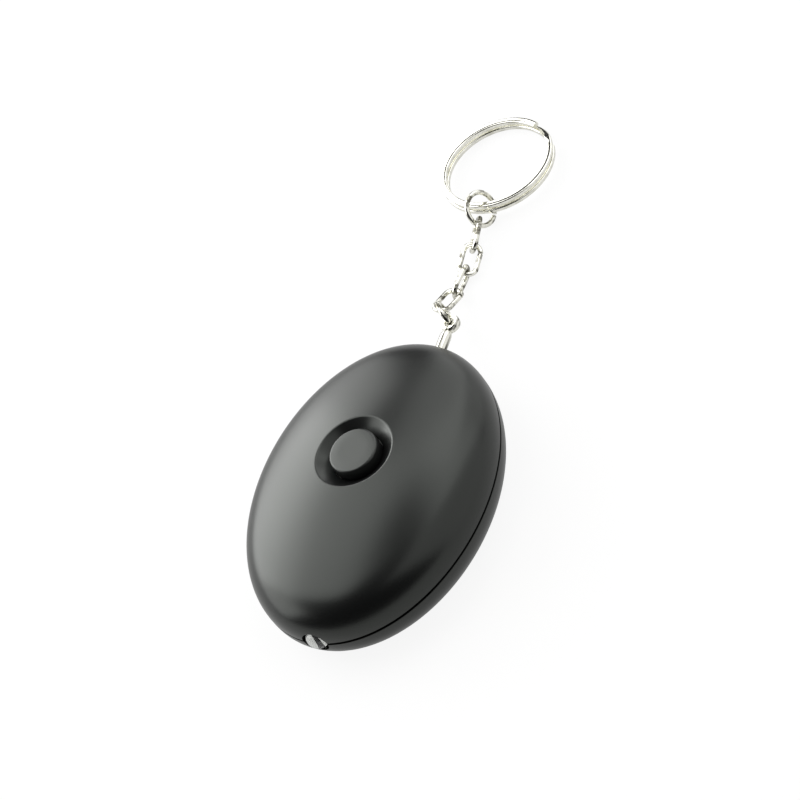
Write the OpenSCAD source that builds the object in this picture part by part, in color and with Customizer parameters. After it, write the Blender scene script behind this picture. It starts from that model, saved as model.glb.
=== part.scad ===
// Personal safety alarm: an oval two-part case with a push button, a lamp, and a pull pin on a chain.
// The origin is the middle of the flat back, +Z points out of the button, +Y points along the pull pin.

/* [Case] */
// Length of the case, along the pull pin
body_l = 66; // [64:1:76]
// Width of the case
body_w = 50; // [48:1:60]
// Height of the lower half, from the back to the seam
base_h = 7.8; // [7.4:0.2:10]
// Height of the upper half, from the seam to the crown
dome_h = 12.2; // [11.4:0.2:15]
// Wall thickness at the ends of the case
wall = 1.8; // [1.5:0.1:2.2]
// Radius of the edge round the back
base_r = 7; // [5:0.5:7]
// Radius of the shoulder between the side and the crown
shoulder_r = 7.5; // [5:0.5:9]
// Height of the upright band above the seam
seam_band = 0.4; // [0.2:0.1:1.6]
// Chamfer on each half that makes the groove along the seam
seam_chamfer = 0.25; // [0.1:0.05:0.4]
// Height of the locating lip inside the seam
lip_h = 1.2; // [0.8:0.1:1.6]
// Thickness of the locating lip
lip_t = 0.7; // [0.5:0.1:0.9]
// Clearance round the locating lip
lip_gap = 0.1; // [0.05:0.05:0.2]

/* [Button and dish] */
// Distance of the button from the middle of the case
button_y = 2.25; // [-2:0.25:5]
// Diameter of the dish at its rim
dish_d = 16; // [15:0.5:18]
// Depth of the dish below its rim
dish_depth = 2; // [1.5:0.1:2.4]
// Diameter of the dish at its floor
dish_floor_d = 11.2; // [10.8:0.2:12]
// Drop from the crown to the rim of the dish
rim_drop = 0.45; // [0.3:0.05:0.7]
// Diameter of the button
button_d = 10; // [9:0.2:10.2]
// Height of the button above the rim of the dish
button_proud = 0.3; // [0:0.1:1]
// Bevel round the top of the button
button_bevel = 0.35; // [0.2:0.05:0.6]
// Travel of the button
button_travel = 0.8; // [0.4:0.1:1]
// Clearance round the button
button_gap = 0.2; // [0.1:0.05:0.3]

/* [Lamp] */
// Diameter of the lamp
lamp_d = 5; // [3:0.5:5]
// Length of the lamp, from its flange to its tip
lamp_l = 8.6; // [7:0.2:9]
// How far the lamp stands out of the case
lamp_proud = 0.7; // [0:0.1:2]
// Clearance round the lamp
lamp_gap = 0.2; // [0.1:0.05:0.3]
// Distance between the lamp's wires
lead_pitch = 2.54; // [2:0.02:2.54]
// Diameter of the wires inside the case
lead_d = 0.5; // [0.4:0.05:0.6]

/* [Pull pin] */
// Distance of the pin below the seam
pin_drop = 2.2; // [1.8:0.1:2.4]
// Diameter of the pin
pin_d = 2.4; // [2:0.1:2.6]
// Length of the pin inside the case
pin_in = 9.7; // [8:0.1:9.8]
// Distance from the end of the case to the pin's eye
pin_out = 8.2; // [6:0.1:9]
// Clearance round the pin where it enters the case
pin_gap = 0.25; // [0.15:0.05:0.4]
// Diameter of the pin's flattened head
pin_head_d = 4; // [3.8:0.1:4.4]
// Thickness of the pin's flattened head
pin_head_t = 1.7; // [1.5:0.1:1.8]
// Diameter of the eye in the pin's head
pin_eye_d = 1.9; // [1.8:0.1:2]
// Turn of the pin about its own length
pin_turn = -10; // [-20:1:10]

/* [Chain] */
// Diameter of the chain's wire
wire_d = 1.05; // [0.9:0.05:1.1]
// Play between one ring or link and the next
chain_play = 0.25; // [0.2:0.05:0.4]
// Outside diameter of the jump ring
jump_ring_d = 7.2; // [7:0.1:7.6]
// Outside diameter of the end ring
end_ring_d = 8; // [7.9:0.05:8.2]
// Length of an oval link
link_l = 8.3; // [8:0.1:9]
// Width of an oval link
link_w = 4.5; // [4.4:0.1:5]
// Swing of the jump ring to the side of the pin
jump_swing = 43; // [40:1:60]
// Heading of each link and the end ring, from +Y towards -X
chain_heading = [-4, 1, 6.5, 5, 2.5];
// Fall of each link and the end ring towards the table
chain_fall = [21.3, 6.4, -0.4, -10.7, -14.4];
// Turn of each link and the end ring about its own length
chain_turn = [4, -74, 30, -50, 64];

/* [Key ring] */
// Outside diameter of the key ring
key_d = 25; // [22:0.5:30]
// Width of the key ring's wire, from its outside to its inside
key_w = 1.4; // [1.2:0.1:1.6]
// Height of one turn of the key ring's wire
key_turn_h = 1; // [0.8:0.05:1]
// Gap between the key ring's two turns
key_gap = 0.42; // [0.41:0.01:0.5]
// Radius on the edges of the key ring's wire
key_edge_r = 0.3; // [0.1:0.05:0.35]
// Arc over which the wire passes from one turn to the other
key_ramp_angle = 34; // [30:1:44]
// Place of that arc round the ring
key_ramp_at = 40; // [20:1:90]
// Distance of the key ring's wire past the middle of the end ring
key_seat = 0.8; // [0.6:0.05:0.9]
// Depth of the key ring's wire below the middle of the end ring
key_sink = 0.9; // [0.7:0.05:1]
// Heading of the key ring from the end ring
key_heading = 6.5; // [0:0.5:12]
// Fall of the key ring towards the table
key_fall = 4.2; // [3:0.1:5]

/* [Circuit] */
// Thickness of the circuit board
board_t = 1.6; // [1.2:0.2:1.6]
// Gap between the edge of the board and the wall of the case
board_gap = 1.2; // [1:0.1:2]
// Height of the board above the seam
board_lift = 0.8; // [0.6:0.1:1.2]
// Side of the square switch
switch_w = 6; // [5:0.5:7]
// Height of the switch body
switch_h = 3.5; // [3:0.1:3.8]
// Height of the switch's plunger above its body
plunger_out = 1.2; // [1:0.1:1.4]
// Diameter of the switch's plunger
plunger_d = 3.5; // [3:0.1:3.6]
// Diameter of the sounder's brass plate
sounder_d = 20; // [16:1:21]
// Diameter of the sounder's ceramic disc
ceramic_d = 14; // [10:1:14]
// Thickness of each of the sounder's discs
sounder_t = 0.25; // [0.2:0.05:0.4]
// Height of the sounder above the floor of the case
sounder_lift = 2.5; // [2:0.1:3]
// Distance from the pin's end of the case to the middle of the sounder
sounder_from_end = 22.6; // [22:0.2:23]
// Diameter of the coil
coil_d = 8; // [6:0.5:9]
// Height of the coil
coil_h = 5; // [4:0.2:5.4]

/* [Battery] */
// Diameter of one button cell
cell_d = 11.6; // [11:0.1:11.8]
// Thickness of one button cell
cell_t = 5.4; // [4.2:0.1:5.4]
// Number of button cells
cell_count = 3; // [2:1:3]
// Room for the battery spring
spring_room = 2.4; // [2:0.1:3]
// Thickness of the battery contacts
contact_t = 0.4; // [0.3:0.05:0.5]
// Distance from the lamp's end of the case to the middle of the battery holder
holder_from_end = 18.4; // [18.2:0.1:18.8]
// Clearance round the cells
cell_gap = 0.4; // [0.3:0.05:0.5]
// Thickness of the battery holder's walls
holder_wall = 1.2; // [1:0.1:1.3]
// Thickness of the battery door
door_t = 1.3; // [1.2:0.05:1.4]
// Clearance round the battery door
door_gap = 0.15; // [0.1:0.05:0.25]
// Radius of the ears that take the door's screws
door_ear_r = 2.5; // [2.3:0.1:2.8]

/* [Screws] */
// Diameter of the screws
screw_d = 1.6; // [1.4:0.1:1.8]
// Diameter of the heads of the case screws
screw_head_d = 3.6; // [3.2:0.1:4]
// Height of the heads of the case screws
screw_head_h = 1.3; // [1:0.1:1.6]
// Diameter of the heads of the door screws
door_head_d = 3; // [2.8:0.1:3.2]
// Height of the heads of the door screws
door_head_h = 0.6; // [0.5:0.05:0.7]
// Diameter of the posts that take the case screws
post_d = 4.8; // [4.4:0.1:5]
// Distance of the posts from the sides of the case
post_inset = 10.6; // [10.4:0.1:11.2]
// Distance of the posts from the middle of the case, along its length
post_y = 14; // [13:0.5:15]
// Clearance of a screw in its hole
screw_gap = 0.15; // [0.1:0.05:0.2]

/* [Hidden] */
$fn = 72;

// A small overlap that keeps cuts clear of the faces they open
eps = 0.01;
// A length longer than anything that is cut
far = 200;
// Flat faces of one body that only touch are kept this far apart
touch = 0.05;
// How far a cut runs past the face that it opens
cut = 1;

// Case
half_l = body_l / 2;
half_w = body_w / 2;
squeeze = body_w / body_l;
case_h = base_h + dome_h;
band_top = base_h + seam_band;
crown_rise = dome_h - seam_band;
shoulder_at = half_l - shoulder_r;
crown_r = (pow(shoulder_at, 2) + pow(crown_rise, 2) - pow(shoulder_r, 2)) / (2 * (crown_rise - shoulder_r));
crown_centre = case_h - crown_r;

// Button, dish and switch
board_z = base_h + board_lift;
board_top = board_z + board_t;
rim_z = case_h - rim_drop;
dish_floor_z = rim_z - dish_depth;
button_top = rim_z + button_proud;
button_hole_r = button_d / 2 + button_gap;
dish_boss_t = 2.2;
dish_boss_wall = 1.2;
dish_boss_z = dish_floor_z - dish_boss_t;
dish_boss_r = dish_d / 2 + dish_boss_wall;
flange_t = 0.8;
flange_out = 1.2;
flange_sink = 0.7;
flange_play = 0.1;
flange_r = button_d / 2 + flange_out;
flange_pocket_r = flange_r + 2 * button_gap;
flange_seat = dish_boss_z + flange_sink;
flange_top = flange_seat - flange_play;
button_wall = 1.2;
stem_d = 3;
switch_top = board_top + switch_h;
plunger_top = switch_top + plunger_out;
plunger_foot = 0.5;
plunger_foot_out = 0.45;
plunger_foot_d = plunger_d + 2 * plunger_foot_out;
plunger_gap = 0.1;
switch_roof = 0.5;
plunger_z = switch_top - switch_roof - plunger_gap - plunger_foot;

// Lamp
lamp_z = base_h;
lamp_tip = -half_l - lamp_proud;
lamp_base = lamp_tip + lamp_l;
lamp_flange_t = 1;
lamp_flange_out = 0.4;
lamp_flange_d = lamp_d + 2 * lamp_flange_out;
lead_in = 2;
lead_run = 1.8;
lead_bend_r = 0.6;
lead_over = 0.5;
lead_y = lamp_base + lead_run;

// Pull pin and its socket
pin_z = base_h - pin_drop;
pin_tip = half_l - pin_in;
pin_eye = [0, half_l + pin_out, pin_z];
pin_neck = 1.2;
socket_l = 6;
socket_w = 6;
socket_before_pin = 0.7;
socket_start = pin_tip - socket_before_pin;
socket_drop = 2.6;
socket_gap = 0.15;
contact_gap = 0.06;
contact_leaf = 0.25;
contact_inset = 0.8;
contact_h = 2;

// Chain: the middle of each ring and link, and the middle of the wire that the next one hangs on
jump_ring_r = (jump_ring_d - wire_d) / 2;
end_ring_r = (end_ring_d - wire_d) / 2;
link_reach = (link_l - wire_d) / 2;
next_in = wire_d + chain_play;
link_count = len(chain_heading) - 1;

function toward(heading, fall) = [
  -sin(heading) * cos(fall),
  cos(heading) * cos(fall),
  -sin(fall)
];
function jump_way() = [
  -sin(jump_swing) * cos(pin_turn),
  cos(jump_swing),
  sin(jump_swing) * sin(pin_turn)
];
function way(k) = toward(chain_heading[k - 1], chain_fall[k - 1]);
function far_wire(k) = k == 0 ? pin_eye + 2 * jump_ring_r * jump_way() : link_middle(k) + way(k) * link_reach;
function link_middle(k) = far_wire(k - 1) + way(k) * (link_reach - next_in);

end_ring_index = link_count + 1;
end_ring_middle = far_wire(link_count) + way(end_ring_index) * (end_ring_r - next_in);
key_r = (key_d - key_w) / 2;
key_wire = end_ring_middle + way(end_ring_index) * key_seat - [0, 0, key_sink];
key_middle = key_wire + toward(key_heading, key_fall) * key_r;
key_step = key_turn_h + key_gap;
key_ramp_slope = atan2(key_step, key_r * key_ramp_angle * PI / 180);
echo(gap_between_key_ring_turns = key_step - key_turn_h);

// Battery holder, door and screws
cells_l = cell_count * cell_t;
holder_l = cells_l + spring_room + 2 * contact_t;
holder_w = cell_d + 2 * cell_gap;
holder_y = -half_l + holder_from_end;
holder_top = board_top;
holder_clear = 0.3;
cells_x = holder_l / 2 - contact_t - cells_l;
cell_lift = 0.1;
cell_rest = wall + cell_lift;
cell_z = cell_rest + cell_d / 2;
cell_rim = 1.3;
cell_cap_d = cell_d - 2 * cell_rim;
cell_cap_t = 0.5;
door_lap = 0.9;
door_l = holder_l + 2 * door_lap;
door_w = holder_w + 2 * door_lap;
door_corner = 1.2;
door_post_out = 1.6;
door_ear_out = holder_w / 2 + holder_wall + door_post_out;
door_post_d = 4;
door_post_clear = 0.5;
door_post_top = lamp_z - lamp_flange_d / 2 - door_post_clear;
door_pilot_floor = 0.6;
door_screw_short = 1;
door_seat = 0.45;
plate_inset = 0.6;
plate_w = cell_d - 2 * plate_inset;
tab_w = 3;
tab_out = 1;
screw_hole_r = screw_d / 2 + screw_gap;
pilot_gap = 0.03;
pilot_r = screw_d / 2 + pilot_gap;
screw_seat = 2;
screw_bite = 4.4;
screw_short = 0.4;
post_x = half_w - post_inset;
board_pocket = holder_wall + holder_clear;

// Sounder and the parts on the board
sounder_y = half_l - sounder_from_end;
sounder_z = wall + sounder_lift;
sounder_seat = 0.8;
sounder_rim = 1.2;
sound_margin = 2.5;
sound_slots = 5;
sound_slot_w = 1.4;
sound_slot_pitch = 2.8;
sounder_lead_d = 0.7;
coil_y = 14;
coil_flange = 1;
winding_inset = 0.3;
capacitor_d = 5;
capacitor_h = 4.6;
chip_size = [4, 5, 1.5];
chip_leg = 1;
transistor_size = [3, 1.5, 1.1];
resistor_size = [2, 1.25, 0.6];
parts_from_post = 5.9;
parts_clear = 0.6;
parts_x = post_x - parts_from_post;
parts_y = post_y - post_d / 2 - chip_size.y / 2 - parts_clear;

case_colour = [0.35, 0.36, 0.38];
metal_colour = [0.78, 0.79, 0.8];
board_colour = [0.1, 0.4, 0.2];
brass_colour = [0.75, 0.62, 0.3];
dark_colour = [0.1, 0.1, 0.11];

// Case

// Turns a profile about Z and draws the turned shape in across the width, so that the plan is an ellipse.
module oval(part_turn = 90) {
  for (start = [0:part_turn:359])
    scale([squeeze, 1, 1])
      rotate([0, 0, start + 45])
        rotate_extrude(angle = part_turn) children();
}

// The upper half in section: an upright band, a shoulder arc and a crown arc that meet without a corner.
module crown_profile(inset) {
  reach = 1.5;
  intersection() {
    translate([0, base_h - eps]) square([half_l, far]);
    union() {
      intersection() {
        translate([0, crown_centre]) circle(crown_r - inset);
        polygon([
          [0, crown_centre],
          [reach * shoulder_at, crown_centre + reach * (band_top - crown_centre)],
          [0, crown_centre + reach * crown_r]
        ]);
      }
      intersection() {
        translate([shoulder_at, band_top]) circle(shoulder_r - inset);
        translate([0, band_top]) square([half_l, far]);
      }
      translate([0, base_h - eps]) square([half_l - inset, seam_band + eps]);
    }
  }
}

// The lower half in section: a flat floor, a quarter-round edge and an upright band.
module base_profile(inset, top) {
  translate([0, inset]) square([half_l - base_r, top - inset]);
  translate([0, base_r]) square([half_l - inset, top - base_r]);
  intersection() {
    translate([half_l - base_r, base_r]) circle(base_r - inset);
    translate([half_l - base_r, 0]) square([base_r, base_r]);
  }
}

// The corner that is taken off the outside of a half along the seam.
module seam_corner() {
  translate([half_l, base_h]) rotate(45) square(seam_chamfer * sqrt(2), center = true);
}

module at_posts() {
  for (x = [-post_x, post_x])
    for (y = [-post_y, post_y])
      translate([x, y, 0]) children();
}

module along_y(from, to, r) {
  translate([0, from, 0]) rotate([-90, 0, 0]) cylinder(h = to - from, r = r);
}

module lamp_hole() {
  translate([0, 0, lamp_z]) along_y(-half_l - lamp_l, -half_l + wall + cut, lamp_d / 2 + lamp_gap);
}

module upper_shell() {
  color(case_colour) difference() {
    union() {
      oval() difference() {
        crown_profile(0);
        crown_profile(wall);
        translate([half_l - wall - cut, base_h - eps])
          square([cut + lip_t + lip_gap, lip_h + lip_gap + eps]);
        translate([0, base_h - cut]) square([half_l, cut]);
        seam_corner();
      }
      intersection() {
        scale([squeeze, 1, 1]) rotate_extrude() crown_profile(wall / 2);
        union() {
          translate([0, button_y, dish_boss_z]) cylinder(h = dome_h, r = dish_boss_r);
          at_posts() translate([0, 0, board_top + touch]) cylinder(h = dome_h, d = post_d);
        }
      }
    }
    translate([0, button_y, dish_floor_z])
      cylinder(h = dish_depth, d1 = dish_floor_d, d2 = dish_d);
    translate([0, button_y, rim_z - eps]) cylinder(h = dome_h, d = dish_d);
    translate([0, button_y, dish_boss_z - cut]) cylinder(h = dome_h, r = button_hole_r);
    translate([0, button_y, dish_boss_z - cut]) cylinder(h = flange_sink + cut, r = flange_pocket_r);
    at_posts() translate([0, 0, board_top - eps]) cylinder(h = screw_bite, r = pilot_r);
    lamp_hole();
  }
}

module lower_shell() {
  color(case_colour) difference() {
    union() {
      oval() difference() {
        union() {
          base_profile(0, base_h);
          translate([half_l - wall, base_h - eps]) square([lip_t, lip_h + eps]);
        }
        base_profile(wall, base_h + lip_h + cut);
        seam_corner();
      }
      at_posts() translate([0, 0, wall - eps]) cylinder(h = board_z - wall, d = post_d);
      sounder_seat_ring();
      battery_holder();
    }
    at_posts() {
      translate([0, 0, -cut]) cylinder(h = screw_seat + cut, d = screw_head_d + 2 * screw_gap);
      cylinder(h = far, r = screw_hole_r);
    }
    translate([0, sounder_y, 0]) sound_openings();
    translate([0, holder_y, -cut]) {
      linear_extrude(cut + door_t + touch) door_outline(door_gap);
      linear_extrude(holder_top + 2 * cut) square([holder_l, holder_w], center = true);
      at_ears() cylinder(h = cut + door_post_top - door_pilot_floor, r = pilot_r);
    }
    lamp_hole();
    translate([0, 0, pin_z]) along_y(half_l - wall - 2 * cut, half_l + cut, pin_d / 2 + pin_gap);
  }
}

module sounder_seat_ring() {
  translate([0, sounder_y, wall - eps]) difference() {
    cylinder(h = sounder_lift + eps, r = sounder_d / 2 + sounder_rim);
    translate([0, 0, -cut]) cylinder(h = sounder_lift + 2 * cut, r = sounder_d / 2 - sounder_seat);
  }
}

// Round-ended slots that get shorter towards the sides, through which the sounder is heard.
module sound_openings() {
  longest = sounder_d / 2 - sounder_seat - sound_margin;
  middle = (sound_slots - 1) / 2;
  for (i = [0:sound_slots - 1]) {
    x = (i - middle) * sound_slot_pitch;
    half = sqrt(pow(longest, 2) - pow(x, 2));
    translate([x, 0, -cut]) linear_extrude(wall + 2 * cut) {
      square([sound_slot_w, 2 * half], center = true);
      for (end = [-half, half])
        translate([0, end]) circle(d = sound_slot_w);
    }
  }
}

module battery_holder() {
  translate([0, holder_y, wall - eps]) {
    linear_extrude(holder_top - wall + eps)
      square([holder_l + 2 * holder_wall, holder_w + 2 * holder_wall], center = true);
    at_ears() cylinder(h = door_post_top - wall + eps, d = door_post_d);
  }
}

module at_ears() {
  for (side = [-1, 1])
    translate([0, side * door_ear_out, 0]) children();
}

// Button and switch

module push_button() {
  color(dark_colour) translate([0, button_y, 0]) difference() {
    union() {
      translate([0, 0, flange_top - eps])
        cylinder(h = button_top - button_bevel - flange_top + eps, d = button_d);
      translate([0, 0, button_top - button_bevel])
        cylinder(h = button_bevel, d1 = button_d, d2 = button_d - 2 * button_bevel);
      translate([0, 0, flange_top - flange_t]) cylinder(h = flange_t, r = flange_r);
    }
    difference() {
      translate([0, 0, flange_top - flange_t - cut])
        cylinder(h = button_top - flange_top + flange_t + cut - button_wall, r = button_d / 2 - button_wall);
      translate([0, 0, plunger_top]) cylinder(h = dome_h, d = stem_d);
    }
  }
}

module switch_plunger() {
  color(dark_colour) translate([0, button_y, plunger_z]) {
    cylinder(h = plunger_top - plunger_z, d = plunger_d);
    cylinder(h = plunger_foot, d = plunger_foot_d);
  }
}

module switch_body() {
  color("silver") translate([0, button_y, board_top]) difference() {
    translate([0, 0, switch_h / 2]) cube([switch_w, switch_w, switch_h], center = true);
    translate([0, 0, plunger_z - board_top - button_travel - plunger_gap])
      cylinder(
        h = switch_top - switch_roof - plunger_z + button_travel + plunger_gap,
        d = plunger_foot_d + 2 * plunger_gap
      );
    translate([0, 0, switch_h / 2]) cylinder(h = switch_h, d = plunger_d + 2 * plunger_gap);
  }
}

// Circuit board and what it carries

module circuit_board() {
  board_half_l = half_l - wall - board_gap;
  board_half_w = half_w - wall - board_gap;
  color(board_colour) translate([0, 0, board_z]) linear_extrude(board_t) difference() {
    scale([board_half_w / board_half_l, 1]) circle(board_half_l);
    translate([0, holder_y])
      square([holder_l + 2 * board_pocket, holder_w + 2 * board_pocket], center = true);
    translate([-lamp_flange_d / 2 - holder_clear, -half_l])
      square([lamp_flange_d + 2 * holder_clear, lamp_base + half_l + holder_clear]);
    at_posts() circle(screw_hole_r);
    for (side = [-1, 1])
      translate([side * lead_pitch / 2, lead_y]) circle(lead_d / 2 + touch);
  }
}

module led_lamp() {
  color([0.9, 0.93, 0.95, 0.6]) translate([0, 0, lamp_z]) difference() {
    union() {
      along_y(lamp_tip + lamp_d / 2, lamp_base, lamp_d / 2);
      translate([0, lamp_tip + lamp_d / 2, 0]) sphere(d = lamp_d);
      along_y(lamp_base - lamp_flange_t, lamp_base, lamp_flange_d / 2);
    }
    for (side = [-1, 1])
      translate([side * lead_pitch / 2, 0, 0]) along_y(lamp_base - lead_in, lamp_base + cut, lead_d / 2);
  }
}

// Each wire runs straight out of the lamp and turns up through the board.
module led_leads() {
  color(metal_colour)
    for (side = [-1, 1])
      translate([side * lead_pitch / 2, 0, lamp_z]) {
        along_y(lamp_base - lead_in, lead_y - lead_bend_r, lead_d / 2);
        translate([0, lead_y - lead_bend_r, lead_bend_r])
          rotate([0, 90, 0])
            rotate_extrude(angle = 90) translate([lead_bend_r, 0]) circle(d = lead_d);
        translate([0, lead_y, lead_bend_r])
          cylinder(h = board_top + lead_over - lamp_z - lead_bend_r, d = lead_d);
      }
}

module pin_socket() {
  slot = contact_leaf + touch;
  color(dark_colour) difference() {
    translate([-socket_w / 2, socket_start, pin_z - socket_drop])
      cube([socket_w, socket_l, board_z - pin_z + socket_drop]);
    translate([0, 0, pin_z])
      along_y(socket_start - cut, socket_start + socket_l + cut, pin_d / 2 + socket_gap);
    for (side = [0, 1])
      mirror([side, 0, 0])
        translate([pin_d / 2 + contact_gap, socket_start + contact_inset, pin_z - contact_h / 2])
          cube([slot, socket_l - 2 * contact_inset, far]);
  }
}

module socket_contacts() {
  color(brass_colour)
    for (side = [0, 1])
      mirror([side, 0, 0])
        translate([pin_d / 2 + contact_gap, socket_start + contact_inset + touch, pin_z - contact_h / 2])
          cube([contact_leaf, socket_l - 2 * (contact_inset + touch), board_z - pin_z + contact_h / 2]);
}

module sounder_plate() {
  color(brass_colour) translate([0, sounder_y, sounder_z]) cylinder(h = sounder_t, d = sounder_d);
}

module sounder_ceramic() {
  color("ivory") translate([0, sounder_y, sounder_z + sounder_t]) cylinder(h = sounder_t, d = ceramic_d);
}

// One wire stands on the ceramic and one on the rim of the plate.
module sounder_leads() {
  plate_top = sounder_z + sounder_t;
  on_plate = (sounder_d + ceramic_d) / 4;
  on_ceramic = ceramic_d / 4;
  color("firebrick") {
    translate([on_plate, sounder_y, plate_top]) cylinder(h = board_z - plate_top, d = sounder_lead_d);
    translate([-on_ceramic, sounder_y, plate_top + sounder_t])
      cylinder(h = board_z - plate_top - sounder_t, d = sounder_lead_d);
  }
}

module coil_core() {
  color(dark_colour) translate([0, coil_y, board_top]) {
    cylinder(h = coil_flange, d = coil_d);
    cylinder(h = coil_h, d = coil_d / 2);
    translate([0, 0, coil_h - coil_flange]) cylinder(h = coil_flange, d = coil_d);
  }
}

module coil_winding() {
  color("peru") translate([0, coil_y, board_top + coil_flange]) difference() {
    cylinder(h = coil_h - 2 * coil_flange, d = coil_d - 2 * winding_inset);
    translate([0, 0, -cut]) cylinder(h = coil_h, d = coil_d / 2);
  }
}

module filter_capacitor() {
  color(metal_colour) translate([-parts_x, parts_y, board_top]) cylinder(h = capacitor_h, d = capacitor_d);
}

module control_chip() {
  color(dark_colour) translate([parts_x, parts_y, board_top + chip_size.z / 2])
    cube([chip_size.x + 2 * chip_leg, chip_size.y, chip_size.z], center = true);
}

module driver_transistor() {
  color(dark_colour) translate([parts_x, button_y, board_top + transistor_size.z / 2])
    cube(transistor_size, center = true);
}

module chip_resistors() {
  color(dark_colour)
    for (row = [-1, 0, 1])
      translate([-parts_x, button_y + 2 * row * resistor_size.y, board_top + resistor_size.z / 2])
        cube(resistor_size, center = true);
}

// Battery

module battery_cells() {
  color(metal_colour)
    for (i = [0:cell_count - 1])
      translate([cells_x + i * cell_t, holder_y, cell_z]) rotate([0, 90, 0]) {
        cylinder(h = cell_cap_t, d = cell_cap_d);
        translate([0, 0, cell_cap_t]) cylinder(h = cell_t - cell_cap_t - touch, d = cell_d);
      }
}

// A plate stands against the end of the holder, and its tab folds over onto the board.
module contact_plate() {
  translate([holder_l / 2 - contact_t, holder_y - plate_w / 2, cell_rest])
    cube([contact_t, plate_w, holder_top + contact_t - cell_rest]);
  translate([holder_l / 2 - contact_t, holder_y + plate_w / 2 - tab_w, holder_top])
    cube([contact_t + board_pocket + tab_out, tab_w, contact_t]);
}

module battery_plate() {
  color(metal_colour) contact_plate();
}

// The other contact carries a bowed leaf that presses on the cells.
module battery_spring() {
  bow = spring_room - touch;
  half_chord = cell_d / 4;
  bow_r = (pow(half_chord, 2) + pow(bow, 2)) / (2 * bow);
  leaf_h = 3;
  color(metal_colour) {
    mirror([1, 0, 0]) contact_plate();
    translate([contact_t - holder_l / 2, holder_y, cell_z - leaf_h / 2]) linear_extrude(leaf_h) difference() {
      intersection() {
        translate([bow - bow_r, 0]) circle(bow_r);
        translate([-eps, -half_chord]) square([bow + cut, 2 * half_chord]);
      }
      translate([bow - bow_r, 0]) circle(bow_r - contact_t);
    }
  }
}

module door_outline(grow) {
  x = door_l / 2 - door_corner;
  y = door_w / 2 - door_corner;
  square([2 * (x + door_corner + grow), 2 * y], center = true);
  square([2 * x, 2 * (y + door_corner + grow)], center = true);
  for (sx = [-x, x])
    for (sy = [-y, y])
      translate([sx, sy]) circle(door_corner + grow);
  square([2 * (door_ear_r + grow), 2 * door_ear_out], center = true);
  for (side = [-1, 1])
    translate([0, side * door_ear_out]) circle(door_ear_r + grow);
}

module battery_door() {
  color(case_colour) translate([0, holder_y, 0]) difference() {
    linear_extrude(door_t) door_outline(0);
    at_ears() {
      translate([0, 0, -cut]) cylinder(h = far, r = screw_hole_r);
      translate([0, 0, -cut]) cylinder(h = cut + door_t - door_seat, d = door_head_d + 2 * screw_gap);
    }
  }
}

// A round-headed screw with a crossed recess, head down.
module screw(head_d, head_h, shank_l) {
  slot_w = 0.5;
  difference() {
    union() {
      translate([0, 0, -head_h]) cylinder(h = head_h, d = head_d);
      cylinder(h = shank_l, d = screw_d);
    }
    for (turn = [0, 90])
      rotate([0, 0, turn])
        translate([-head_d / 3, -slot_w / 2, -head_h - cut])
          cube([2 * head_d / 3, slot_w, cut + head_h / 2]);
  }
}

module door_screws() {
  seat = door_t - door_seat;
  color(metal_colour) translate([0, holder_y, seat])
    at_ears() screw(door_head_d, door_head_h, door_post_top - door_screw_short - seat);
}

module case_screws() {
  color(metal_colour) translate([0, 0, screw_seat])
    at_posts() screw(screw_head_d, screw_head_h, board_top + screw_bite - screw_short - screw_seat);
}

// Pull pin, chain and key ring

// A plain shaft with a rounded, grooved tip and a flattened head that is pierced for the jump ring.
module pull_pin() {
  head_start = pin_eye.y - pin_head_d / 2;
  groove_w = 0.9;
  groove_depth = 0.3;
  groove_at = pin_tip + pin_d;
  color(metal_colour) difference() {
    union() {
      translate([0, 0, pin_z]) along_y(pin_tip + pin_d / 2, head_start + pin_neck, pin_d / 2);
      translate([0, pin_tip + pin_d / 2, pin_z]) sphere(d = pin_d);
      translate(pin_eye) rotate([0, pin_turn, 0]) intersection() {
        sphere(d = pin_head_d);
        cube([pin_head_d, pin_head_d, pin_head_t], center = true);
      }
    }
    translate(pin_eye) rotate([0, pin_turn, 0]) cylinder(h = pin_head_d, d = pin_eye_d, center = true);
    translate([0, 0, pin_z]) difference() {
      along_y(groove_at, groove_at + groove_w, pin_d);
      along_y(groove_at - cut, groove_at + groove_w + cut, pin_d / 2 - groove_depth);
    }
  }
}

module wire_ring(radius) {
  rotate_extrude() translate([radius, 0]) circle(d = wire_d);
}

// An oval link lying along Y: two half rings joined by straight sides.
module oval_link() {
  bend = (link_w - wire_d) / 2;
  straight = link_l - link_w;
  for (end = [0, 1])
    mirror([0, end, 0]) translate([0, straight / 2, 0])
      rotate_extrude(angle = 180) translate([bend, 0]) circle(d = wire_d);
  for (side = [-bend, bend])
    translate([side, 0, 0]) along_y(-straight / 2, straight / 2, wire_d / 2);
}

module lie(heading, fall, turn) {
  rotate([0, 0, heading]) rotate([-fall, 0, 0]) rotate([0, turn, 0]) children();
}

module jump_ring() {
  color(metal_colour) translate(pin_eye)
    rotate([0, pin_turn, 0]) rotate([0, 0, jump_swing])
      translate([0, jump_ring_r, 0]) rotate([0, 90, 0]) wire_ring(jump_ring_r);
}

module chain_link(k) {
  color(metal_colour) translate(link_middle(k))
    lie(chain_heading[k - 1], chain_fall[k - 1], chain_turn[k - 1]) oval_link();
}

module end_ring() {
  k = end_ring_index - 1;
  color(metal_colour) translate(end_ring_middle)
    lie(chain_heading[k], chain_fall[k], chain_turn[k]) wire_ring(end_ring_r);
}

// The key ring's wire in section, with rounded edges.
module key_section() {
  x = key_w / 2 - key_edge_r;
  y = key_turn_h / 2 - key_edge_r;
  square([2 * x, key_turn_h], center = true);
  square([key_w, 2 * y], center = true);
  for (sx = [-x, x])
    for (sy = [-y, y])
      translate([sx, sy]) circle(key_edge_r);
}

module key_arc(angle) {
  rotate_extrude(angle = angle) translate([key_r, 0]) key_section();
}

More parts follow.
